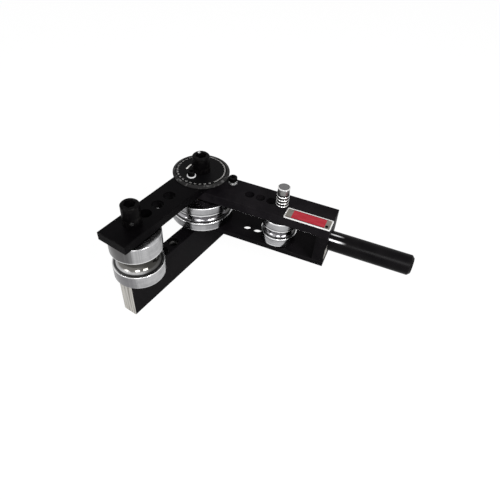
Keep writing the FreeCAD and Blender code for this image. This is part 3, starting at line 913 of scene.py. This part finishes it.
class GeometryTree(NodeTree):
    """A geometry-node tree with named sizes, and a way to run it into a plain mesh."""

    def __init__(self, name: str) -> None:
        """Start a tree with a geometry input and output.

        Args:
            name: The tree's name.
        """
        super().__init__(bpy.data.node_groups.new(name, "GeometryNodeTree"))
        self.tree.is_modifier = True
        for way in ("INPUT", "OUTPUT"):
            self.tree.interface.new_socket("Geometry", in_out=way,
                                           socket_type="NodeSocketGeometry")
        self.entry = self.node("NodeGroupInput")
        self.identifiers: dict[str, str] = {}

    def size(self, name: str, kind: SizeKind) -> Wire:
        """Add a named size.

        Args:
            name: What it is called.
            kind: Its kind.

        Returns:
            The size.
        """
        socket = self.tree.interface.new_socket(name, in_out="INPUT", socket_type=kind.value)
        self.identifiers[name] = socket.identifier
        return Wire(self, self.entry.outputs[name])

    def lengths(self, *names: str) -> list[Wire]:
        """Add several named lengths or angles."""
        return [self.size(name, SizeKind.LENGTH) for name in names]

    def sweep(self, curve: Wire, profile: Wire, shift: Wire, capped: bool = False) -> Wire:
        """Run a profile along a curve and move the skin by a shift, with its ends capped."""
        skin = self.wire("GeometryNodeCurveToMesh", {
            "Curve": curve, "Profile Curve": profile, "Fill Caps": capped})
        return self.wire("GeometryNodeTransform", {"Geometry": skin, "Translation": shift})

    def circle(self, steps: Number, radius: Number) -> Wire:
        """A circle of so many steps."""
        return self.wire("GeometryNodeCurvePrimitiveCircle",
                         {"Resolution": steps, "Radius": radius}, mode="RADIUS")

    def close(self, geometry: Wire) -> "GeometryTree":
        """End the tree: make its geometry real, give its material and put it out.

        Args:
            geometry: What the tree made.

        Returns:
            The tree itself.
        """
        real = self.wire("GeometryNodeRealizeInstances", {0: geometry})
        dressed = self.wire("GeometryNodeSetMaterial", {
            "Geometry": real, "Material": self.size("Material", SizeKind.SUBSTANCE)})
        self.node("NodeGroupOutput", {0: dressed})
        return self

    def run(self, name: str, sizes: dict[str, object],
            base: Optional[bpy.types.Mesh] = None) -> Piece:
        """Run the tree and keep its result as a plain mesh.

        Args:
            name: The piece's name.
            sizes: The named sizes.
            base: The mesh that goes in, if the tree takes one.

        Returns:
            The piece.
        """
        carrier = link("carrier", base or bpy.data.meshes.new("carrier"))
        modifier = carrier.modifiers.new("tree", "NODES")
        modifier.node_group = self.tree
        for word, value in sizes.items():
            modifier[self.identifiers[word]] = value
        mesh = settle(carrier)
        mesh.name = name
        return link(name, mesh)


def tick_tree() -> GeometryTree:
    """Build the tree that sets equal bars round part of a circle.

    Returns:
        The tree.
    """
    tree = GeometryTree("ring_of_bars")
    count = tree.size("Count", SizeKind.COUNT)
    radius, first, spacing, level, length, width, height = tree.lengths(
        "Radius", "First angle", "Angle between", "Level", "Bar length", "Bar width",
        "Bar height")
    angle = first + tree.wire("GeometryNodeInputIndex") * spacing
    place = tree.vector(radius * angle.cosine(), radius * angle.sine(), level)
    points = tree.wire("GeometryNodePoints", {"Count": count, "Position": place})
    bar = tree.wire("GeometryNodeMeshCube", {"Size": tree.vector(length, width, height)})
    return tree.close(tree.wire("GeometryNodeInstanceOnPoints", {
        "Points": points, "Instance": bar, "Rotation": tree.vector(0.0, 0.0, angle)}))


def thread_tree() -> GeometryTree:
    """Build the tree that winds a thread's ridge inside a tapped hole.

    Returns:
        The tree.
    """
    tree = GeometryTree("thread")
    radius, depth, turns, ridge, floor, station = tree.lengths(
        "Radius", "Depth", "Turns", "Ridge", "Floor", "Station")
    helix = tree.wire("GeometryNodeCurveSpiral", {
        "Resolution": THREAD_STEPS, "Rotations": turns, "Start Radius": radius,
        "End Radius": radius, "Height": depth})
    return tree.close(tree.sweep(helix, tree.circle(THREAD_SIDES, ridge),
                                 tree.vector(station, 0.0, floor), capped=True))


class Lathe(GeometryTree):
    """Turns closed half sections into finished round pieces."""

    def __init__(self) -> None:
        """Build the tree that turns an outline about an upright axis."""
        super().__init__("revolve")
        steps = self.size("Steps", SizeKind.COUNT)
        axis_x, axis_y = self.lengths("Axis X", "Axis Y")
        section = self.wire("GeometryNodeMeshToCurve",
                            {0: Wire(self, self.entry.outputs["Geometry"])})
        self.close(self.sweep(self.circle(steps, PATH_RADIUS), section,
                              self.vector(axis_x, axis_y, 0.0)))

    def turn(self, name: str, section: Profile, axis: Vector, material: Material,
             steps: int = 128) -> Piece:
        """Turn one piece.

        Args:
            name: The piece's name.
            section: Closed half section: radius and height, in metres.
            axis: A point on the axis; its height is not used.
            material: What it is made of.
            steps: Facets round the axis.

        Returns:
            The piece.
        """
        outline = bpy.data.meshes.new(name)
        points = [(radius - PATH_RADIUS, -height, 0.0) for radius, height in section]
        count = len(points)
        outline.from_pydata(points, [(i, (i + 1) % count) for i in range(count)], [])
        piece = self.run(name, {"Steps": steps, "Axis X": axis.x, "Axis Y": axis.y,
                                "Material": material}, outline)
        tidy_mesh(piece.data)
        return piece


# Sub-assemblies


def centre_of(node: str) -> Vector:
    """The middle of a CAD node's box."""
    low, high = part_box(node)
    return (low + high) / 2


def radius_of(node: str) -> float:
    """Half of a round CAD node's width."""
    low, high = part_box(node)
    return (high.x - low.x) / 2


@dataclass
class Plates:
    """The painted steelwork of both arms."""

    nodes: Nodes
    turn: float
    fixed_half: float = 17.0 * MM
    lever_half: float = 18.5 * MM
    bar_half: float = 8.0 * MM
    lever_reach: float = 148.0 * MM
    block_length: float = 12.0 * MM
    # One black paint on all: the fixed top plate and the bar set darker are painted shade, the
    # lever's top plate set lighter is painted light.
    looks: dict[str, dict[str, Union[float, Span]]] = field(default_factory=lambda: {
        "fixed_top_plate": {"tone": 0.45},
        "vice_bar": {"tone": 0.75, "bare": 1.0},
        "lever_top_plate": {"tone": 1.6},
        "lever_bottom_plate": {},
        "lever_end_block": {"bare": 0.8, "bare_span": (60.0 * MM, 75.0 * MM)}})

    def dress(self) -> None:
        """Paint the plates, the bar, the end block and the handle."""
        turn, reach = self.turn, self.lever_reach
        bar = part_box("vice_bar")
        lever = (turn, self.lever_half, 0.0, reach, True)
        slabs = {
            "fixed_top_plate": (0.0, self.fixed_half, 0.0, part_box("fixed_top_plate")[1].x,
                                True),
            "vice_bar": (0.0, self.bar_half, bar[0].x, bar[1].x, False),
            "lever_top_plate": lever,
            "lever_bottom_plate": lever,
            "lever_end_block": (turn, self.lever_half, reach - self.block_length, reach,
                                False)}
        for node, (angle, half, start, end, nose) in slabs.items():
            low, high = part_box(node)
            slab = Slab(half, start, end, low.z, high.z, nose)
            finish = Enamel(name="enamel_" + node, turn=angle, slab=slab, **self.looks[node])
            dress(self.nodes[node], finish.make())
            LOG.info("painted %s", node)
        low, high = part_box("handle_bar")
        finish = HandleEnamel(name="enamel_handle", turn=turn, root=reach,
                              level=(low.z + high.z) / 2, radius=(high.z - low.z) / 2)
        dress(self.nodes["handle_bar"], finish.make())
        LOG.info("painted handle_bar")


SMALL_ROLLER = {"colour": (0.46, 0.46, 0.47), "shade": (0.26, 0.26, 0.27),
                "hollow": (0.12, 0.117, 0.125), "shoulder": (0.36, 0.355, 0.37),
                "crisp": 0.8, "rubbed": 0.85}


@dataclass
class RollerSet:
    """The three grooved rollers."""

    lathe: Lathe
    groove_level: float = 71.6 * MM
    lip: float = 0.7 * MM
    edge: float = 0.4 * MM
    bore_gap: float = 0.02 * MM
    groove_steps: int = 32
    groove_radii: dict[str, float] = field(default_factory=lambda: {
        "outer_roller": 9.6 * MM, "pivot_roller": 5.0 * MM, "lever_roller": 5.0 * MM})
    # Each roller's colours, among them its painted highlights and painted shade and the sides
    # these face.
    metal: dict[str, dict[str, Union[Colour, Span, float]]] = field(default_factory=lambda: {
        "outer_roller": {"colour": (0.50, 0.50, 0.505), "shade": (0.30, 0.298, 0.305),
                         "land": (0.56, 0.56, 0.57), "hollow": (0.06, 0.058, 0.054),
                         "shoulder": (0.17, 0.165, 0.155), "polish": math.radians(88.0),
                         "fade": (1.02, 0.20), "crisp": 0.9, "shaded": 0.62},
        "pivot_roller": {**SMALL_ROLLER, "score": 2.4 * MM, "polish": 0.0,
                         "tarnish": (0.06, 0.06, 0.062)},
        "lever_roller": {**SMALL_ROLLER, "score": 2.2 * MM}})

    def section(self, node: str) -> Profile:
        """The half section of one roller.

        Args:
            node: The roller's CAD node.

        Returns:
            Its outline.
        """
        low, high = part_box(node)
        radius, bore = radius_of(node), radius_of(node + "_bush") + self.bore_gap
        groove, level = self.groove_radii[node], self.groove_level
        corners = [(bore, low.z, 0.0), (radius, low.z, self.lip),
                   (radius, level - groove, self.edge)]
        for step in range(1, self.groove_steps):
            angle = math.pi * step / self.groove_steps
            corners.append((radius - groove * math.sin(angle),
                            level - groove * math.cos(angle), 0.0))
        corners += [(radius, level + groove, self.edge), (radius, high.z, self.lip),
                    (bore, high.z, 0.0)]
        return rounded(corners)

    def build(self) -> None:
        """Turn the rollers and set them in place."""
        for node, groove in self.groove_radii.items():
            axis = centre_of(node + "_bush")
            low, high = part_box(node)
            finish = Grooved(name="steel_" + node, centre=axis, groove_radius=groove,
                             groove_level=self.groove_level, outer_radius=radius_of(node),
                             low=low.z, high=high.z, **self.metal[node])
            piece = self.lathe.turn(node + "_turned", self.section(node), axis, finish.make())
            fit(piece, node + "_set", node)
            LOG.info("turned %s", node)


@dataclass
class GripPin:
    """The bright pin with its ribbed grip."""

    lathe: Lathe
    shank: float = 5.0 * MM
    rib: float = 6.65 * MM
    root: float = 5.3 * MM
    sleeve_low: float = 6.3 * MM
    sleeve_high: float = 5.9 * MM
    cap: float = 6.5 * MM
    cap_height: float = 1.1 * MM
    cap_slope: Span = (1.2 * MM, 0.9 * MM)
    neck_span: Span = (1.9 * MM, 1.2 * MM)
    tip: float = 1.0 * MM
    seam: float = 0.1 * MM
    soft: float = 0.2 * MM
    blunt: float = 0.3 * MM
    belly: float = 0.93 * MM
    rib_pitch: float = 3.8 * MM
    rib_width: float = 1.9 * MM
    rib_count: int = 4
    steps: int = 96

    def section(self, low: float, base: float, top: float) -> Profile:
        """The pin's half section.

        Args:
            low: Height of its tip.
            base: Height at which its grip starts.
            top: Height of its cap's top.

        Returns:
            The outline.
        """
        root, cap, seam, soft = self.root, self.cap, self.seam, self.soft
        corners = [(0.0, low, 0.0), (self.shank - self.tip, low, soft),
                   (self.shank, low + self.tip, self.blunt), (self.shank, base, 0.0)]
        level = base
        for _ in range(self.rib_count):
            rib_top = level + self.rib_width
            corners += [(self.rib, level, self.belly), (self.rib, rib_top, self.belly),
                        (root, rib_top + seam, 0.0),
                        (root, level + self.rib_pitch - seam, 0.0)]
            level += self.rib_pitch
        neck_low, neck_high = self.neck_span
        inward, down = self.cap_slope
        corners += [(self.sleeve_low, level, self.blunt),
                    (self.sleeve_high, top - neck_low - seam, soft),
                    (root, top - neck_low, 0.0), (root, top - neck_high, 0.0),
                    (cap, top - self.cap_height, seam), (cap, top - down, seam),
                    (cap - inward, top, soft), (0.0, top, 0.0)]
        return rounded(corners, 4)

    def build(self) -> None:
        """Turn the pin."""
        low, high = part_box("quick_pin")
        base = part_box("lever_top_plate")[1].z
        axis = centre_of("lever_roller_bush")
        finish = GripSteel(name="bright_pin", centre=axis, base=base, pitch=self.rib_pitch,
                           count=self.rib_count, cap=self.cap, cap_height=self.cap_height,
                           top=high.z)
        piece = self.lathe.turn("quick_pin_turned", self.section(low.z, base, high.z), axis,
                                finish.make(), self.steps)
        fit(piece, "pin_set", "quick_pin")
        LOG.info("turned quick_pin")


@dataclass
class Hardware:
    """Bolts, collars, screws, washers, bushes and tubes."""

    nodes: Nodes
    oxide: tuple[str, ...] = ("pivot_bolt", "outer_axle_bolt", "pivot_collar",
                              "outer_axle_collar", "dial_lock_screw", "stop_screw",
                              "label_rivet")
    # Where a bolt's painted glint sits on its top, off its axis.
    nicks: dict[str, Span] = field(default_factory=lambda: {
        "pivot_bolt": (-3.0 * MM, -4.7 * MM)})
    # The stop screw's washer is partly in shadow: it gets dark patches of painted shade.
    oiled: dict[str, float] = field(default_factory=lambda: {"stop_screw_washer": 0.92})
    metals: dict[str, tuple[Colour, Colour, float, float, tuple[str, ...]]] = field(
        default_factory=lambda: {
            "plated": (grey(0.95), grey(0.88), 0.25, 0.2,
                       ("dial_screw_washer", "stop_screw_washer")),
            "dull": (grey(0.14), grey(0.09), 0.30, 1.0, ("collar_set_screw",)),
            "bright": (grey(0.50), grey(0.30), 0.16, 1.0,
                       ("pivot_spacer_tube", "outer_spacer_tube", "lever_support_washer",
                        "lever_top_washer", "outer_washer_lower", "outer_washer_upper")),
            "bronze": ((0.15, 0.098, 0.052), (0.08, 0.052, 0.028), 0.30, 1.0,
                       ("lever_top_bush", "lever_bottom_bush", "pivot_roller_bush",
                        "outer_roller_bush", "lever_roller_bush", "pivot_washer_upper",
                        "pivot_washer_lower", "lever_washer_upper", "lever_washer_lower"))})

    def dress(self) -> None:
        """Give each small piece its metal."""
        for node in self.oxide:
            nick = self.nicks.get(node)
            if nick:
                nick = Vector((*(centre_of(node).xy + Vector(nick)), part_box(node)[1].z))
            finish = Oxide(name="oxide_" + node, centre=centre_of(node), nick=nick)
            dress(self.nodes[node], finish.make())
        for kind, (colour, shade, roughness, metallic, nodes) in self.metals.items():
            for node in nodes:
                dress(self.nodes[node], Turned(
                    name="%s_%s" % (kind, node), centre=centre_of(node), colour=colour,
                    shade=shade, roughness=roughness, metallic=metallic,
                    specks=self.oiled.get(node, 0.0)).make())
        LOG.info("dressed %d small pieces",
                 len(self.oxide) + sum(len(metal[-1]) for metal in self.metals.values()))


@dataclass
class DialScale:
    """The dial's face and its painted degree scale."""

    nodes: Nodes
    scale_radius: float = 24.9 * MM
    tick_count: int = 66
    tick_first: float = 70.0
    tick_spacing: float = 2.0
    tick_length: float = 1.3 * MM
    tick_width: float = 0.42 * MM
    mark_height: float = 0.10 * MM
    numeral_count: int = 16
    numeral_first: float = 58.0
    numeral_spacing: float = 11.5
    numeral_value: int = 10
    numeral_size: float = 2.565 * MM
    index_from: Span = (8.3 * MM, -13.2 * MM)
    index_to: Span = (-0.8 * MM, -14.3 * MM)
    index_width: float = 1.7 * MM

    def build(self) -> None:
        """Dress the dial and set its marks on it."""
        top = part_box("dial")[1].z
        dress(self.nodes["dial"],
              DialFace(name="dial_face", rim_radius=radius_of("dial")).make())
        paint = MarkPaint(name="dial_paint").make()
        marks = [tick_tree().run("dial_ticks", {
            "Count": self.tick_count, "Radius": self.scale_radius,
            "First angle": math.radians(self.tick_first),
            "Angle between": math.radians(self.tick_spacing), "Level": top,
            "Bar length": self.tick_length, "Bar width": self.tick_width,
            "Bar height": self.mark_height, "Material": paint})]
        for step in range(self.numeral_count):
            angle = math.radians(self.numeral_first - self.numeral_spacing * step)
            marks.append(self.numeral(self.numeral_value * (step + 1), angle, top, paint))
        fresh = MarkPaint(name="index_paint", colour=(0.93, 0.92, 0.89),
                          shade=(0.55, 0.54, 0.52)).make()
        marks.append(self.index_mark(top, fresh))
        for mark in marks:
            fit(mark, "dial_set")
        LOG.info("marked the dial")

    def numeral(self, number: int, angle: float, top: float, paint: Material) -> Piece:
        """Build one number of the scale, read from outside the dial.

        Args:
            number: What it says.
            angle: Where it stands, round from the fixed arm.
            top: Height of the dial's face.
            paint: Its paint.

        Returns:
            The number as a flat raised piece.
        """
        text = bpy.data.curves.new("numeral", "FONT")
        text.body = str(number)
        text.size = self.numeral_size
        text.align_x = text.align_y = "CENTER"
        text.extrude = self.mark_height / 2
        text.resolution_u = 2
        mesh = settle(link("numeral", text))
        spot = Vector((self.scale_radius * math.cos(angle),
                       self.scale_radius * math.sin(angle), top))
        mesh.transform(Matrix.Translation(spot) @ Matrix.Rotation(angle + math.pi / 2, 4, "Z"))
        piece = link("dial_numeral_%d" % number, mesh)
        dress(piece, paint)
        return piece

    def index_mark(self, top: float, paint: Material) -> Piece:
        """Build the long mark beside the pivot.

        Args:
            top: Height of the dial's face.
            paint: Its paint.

        Returns:
            The mark.
        """
        start, end = Vector(self.index_from), Vector(self.index_to)
        run = (end - start).normalized()
        side = Vector((-run.y, run.x)) * (self.index_width / 2)
        outline = (start - side, end - side, end + side, start + side)
        rims = [[Vector((*point, level)) for point in outline]
                for level in (top - self.mark_height / 2, top + self.mark_height)]
        return walled("dial_index_mark", rims, True, paint)


@dataclass
class Label:
    """The bare label: a sheet with a bright raised rim, a red field and two dark lines."""

    turn: float
    near: float = -18.5 * MM
    width: float = 16.0 * MM
    start: float = 99.7 * MM
    end: float = 148.0 * MM
    corner: float = 1.5 * MM
    rim: float = 1.15 * MM
    rim_corner: float = 0.3 * MM
    rim_proud: float = 0.06 * MM
    crest: float = 0.35 * MM
    crest_drop: float = 0.15 * MM
    field_start: float = 107.0 * MM
    field_end: float = 141.5 * MM
    line: float = 1.0 * MM
    line_start: float = 1.8 * MM
    line_corner: float = 0.1 * MM
    line_over: float = 1.0 * MM
    gap: float = 0.1 * MM
    sunk: float = 0.12 * MM

    def inset(self, by: float) -> Spans:
        """The label's span along and across the lever, drawn in on every side."""
        return (self.start + by, self.end - by, self.near + by, self.near + self.width - by)

    def outline(self, spans: Spans, corner: float, level: float) -> list[Vector]:
        """A rounded outline on the lever.

        Args:
            spans: From and to along the lever, then from and to across it.
            corner: Radius of its corners.
            level: Its height.

        Returns:
            Its points.
        """
        left, right, near, far = spans
        flat = rounded([(left, near, corner), (right, near, corner), (right, far, corner),
                        (left, far, corner)], 6)
        turn = Matrix.Rotation(self.turn, 3, "Z")
        return [turn @ Vector((*point, level)) for point in flat]

    def slab(self, spans: Spans, corner: float, levels: Span) -> list[list[Vector]]:
        """The outlines of a flat block at its underside and its top."""
        return [self.outline(spans, corner, level) for level in levels]

    def build(self) -> None:
        """Build the sheet, its rim, its field and its lines."""
        low, high = (corner.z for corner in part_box("label_plate"))
        foil, silver, red, dark = (finish.make() for finish in (
            LabelFoil(name="label_foil", turn=self.turn),
            LabelFoil(name="label_rim_silver", turn=self.turn, colour=(0.95, 0.945, 0.93),
                      shade=(0.80, 0.795, 0.78), metallic=0.7),
            LabelEnamel(name="label_enamel", turn=self.turn),
            LabelEnamel(name="label_line_enamel", turn=self.turn,
                        colour=(0.030, 0.003, 0.005), shade=(0.055, 0.006, 0.009))))
        top, crest, half = high - self.sunk, high + self.rim_proud, self.line / 2
        inlay = (top - self.gap, high - 0.5 * self.sunk)
        outer, lip, inner = (self.inset(by) for by in (0.0, self.crest, self.rim))
        _, _, below, above = self.inset(self.rim + self.gap)
        pieces = {
            "label_sheet": (foil, self.slab(self.inset(self.gap), self.corner, (low, top))),
            "label_rim": (silver, [self.outline(*rim) for rim in (
                (outer, self.corner, low), (outer, self.corner, crest - self.crest_drop),
                (lip, self.corner - self.crest, crest), (inner, self.rim_corner, crest),
                (inner, self.rim_corner, low), (outer, self.corner, low))]),
            "label_field": (red, self.slab(
                (self.field_start, self.field_end, below + self.line, above - half),
                self.rim_corner, inlay)),
            "label_line_near": (dark, self.slab(
                (self.start + self.line_start, self.field_end, below, below + self.line),
                self.line_corner, inlay)),
            "label_line_far": (dark, self.slab(
                (self.field_start - self.line_over, self.field_end + self.line_over,
                 above - half, above), self.line_corner, inlay))}
        for name, (material, rims) in pieces.items():
            piece = walled(name, rims, name != "label_rim", material)
            fit(piece, "lever_arm",
                "label_plate" if name == "label_sheet" else None)
        LOG.info("built the bare label")


@dataclass
class TappedHoles:
    """Threads in the bar's free holes."""

    stations: tuple[float, ...] = (51 * MM, 68 * MM, 85 * MM)
    radius: float = 6.05 * MM
    pitch: float = 1.75 * MM
    depth: float = 24.0 * MM
    entry: float = 1.2 * MM
    ridge: float = 0.62 * MM
    smooth_angle: float = 50.0

    def build(self) -> None:
        """Wind the threads."""
        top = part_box("vice_bar")[1].z
        tree = thread_tree()
        # The threads' steel is coloured near black: painted shade inside the holes.
        finish = Turned(name="thread_steel", centre=Vector((self.stations[0], 0, 0)),
                        colour=(0.035, 0.034, 0.033), shade=grey(0.012),
                        roughness=0.3).make()
        for number, station in enumerate(self.stations, start=1):
            piece = tree.run("bar_thread_%d" % number, {
                "Radius": self.radius, "Depth": self.depth, "Turns": self.depth / self.pitch,
                "Ridge": self.ridge, "Floor": top - self.depth - self.entry,
                "Station": station, "Material": finish})
            tidy_mesh(piece.data, self.smooth_angle)
            fit(piece, "fixed_frame")
        LOG.info("cut %d threads", len(self.stations))


# Stage


@dataclass(frozen=True)
class Viewpoint:
    """Where the camera stands and how it is held, in degrees."""

    place: tuple[float, float, float] = (317.16 * MM, 258.03 * MM, 405.26 * MM)
    heading: float = -148.938
    pitch: float = 45.144
    roll: float = 4.286
    lens: float = 33.759
    sensor: float = 36.0
    clip_start: float = 0.01

    def build(self) -> None:
        """Make the camera and make it the scene's."""
        data = bpy.data.cameras.new("camera")
        data.lens = self.lens
        data.sensor_width = self.sensor
        data.clip_start = self.clip_start
        camera = link("camera", data)
        turns = ((self.heading - 90.0, "Z"), (90.0 - self.pitch, "X"), (self.roll, "Z"))
        camera.matrix_world = reduce(
            Matrix.__matmul__, (Matrix.Rotation(math.radians(angle), 4, axis)
                                for angle, axis in turns), Matrix.Translation(self.place))
        bpy.context.scene.camera = camera


@dataclass(frozen=True)
class Studio:
    """Pale floor, white surroundings and soft lamps."""

    floor_half: float = 3.0
    floor_drop: float = 0.2 * MM
    floor_colour: tuple[float, ...] = (0.86, 0.86, 0.86, 1.0)
    floor_white: float = 1.06
    floor_seen: float = 0.9
    floor_mirrored: float = 0.1
    sky_mirrored: float = 0.9
    sky_light: float = 0.22
    target: tuple[float, float, float] = (0.0, 0.06, 0.07)
    lamps: tuple[tuple[str, tuple[float, float, float], float, float], ...] = (
        ("key", (0.30, 1.05, 0.95), 0.45, 15.0),
        ("fill", (0.95, 0.57, 0.95), 0.40, 8.0),
        ("side", (1.05, -0.45, 0.90), 0.30, 3.0))

    def build(self) -> None:
        """Set the stage."""
        self.floor()
        self.surroundings()
        self.light()
        bpy.context.scene.view_settings.view_transform = "Standard"

    def light(self) -> None:
        """Hang the lamps, each a square with a place, a size and a power."""
        for name, place, size, power in self.lamps:
            data = bpy.data.lights.new(name, "AREA")
            data.shape = "SQUARE"
            data.size = size
            data.energy = power
            lamp = link(name, data)
            lamp.location = place
            towards = Vector(self.target) - Vector(place)
            lamp.rotation_euler = towards.to_track_quat("-Z", "Y").to_euler()

    def floor(self) -> None:
        """Lay the floor just under the tool."""
        half = self.floor_half
        mesh = bpy.data.meshes.new("floor")
        mesh.from_pydata([(x, y, -self.floor_drop) for x, y in (
            (-half, -half), (half, -half), (half, half), (-half, half))], [], [(0, 1, 2, 3)])
        floor = link("floor", mesh)
        material = new_material("floor_white")
        shader = NodeTree(material.node_tree)
        camera, through, mirrored = shader.ray_kinds()
        plain = shader.wire("ShaderNodeBsdfDiffuse", {"Color": self.floor_colour})
        lit = shader.wire("ShaderNodeEmission",
                          {"Color": WHITE, "Strength": self.floor_white})
        share = (camera.most(through) * self.floor_seen).most(mirrored * self.floor_mirrored)
        mix = shader.wire("ShaderNodeMixShader", {0: share, 1: plain, 2: lit})
        shader.node("ShaderNodeOutputMaterial", {"Surface": mix})
        dress(floor, material)

    def surroundings(self) -> None:
        """Make the world white to the eye and softer as a light."""
        world = bpy.data.worlds.new("surroundings")
        bpy.context.scene.world = world
        world.use_nodes = True
        tree = NodeTree(world.node_tree)
        camera, through, mirrored = tree.ray_kinds()
        seen = camera.most(through).most(mirrored * self.sky_mirrored)
        strength = tree.wire("ShaderNodeMapRange", {0: seen, 3: self.sky_light, 4: 1.0})
        sky = tree.wire("ShaderNodeBackground", {"Color": WHITE, "Strength": strength})
        tree.node("ShaderNodeOutputWorld", {"Surface": sky})


def main() -> None:
    """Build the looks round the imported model."""
    logging.basicConfig(level=logging.INFO, format="%(name)s: %(message)s")
    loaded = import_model()
    nodes = loaded["nodes"]
    pin = centre_of("lever_roller_bush")
    turn = math.atan2(pin.y, pin.x)
    Studio().build()
    Viewpoint().build()
    lathe = Lathe()
    Plates(nodes, turn).dress()
    Hardware(nodes).dress()
    RollerSet(lathe).build()
    GripPin(lathe).build()
    DialScale(nodes).build()
    Label(turn).build()
    TappedHoles().build()
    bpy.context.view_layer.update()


if __name__ == "__main__":
    main()
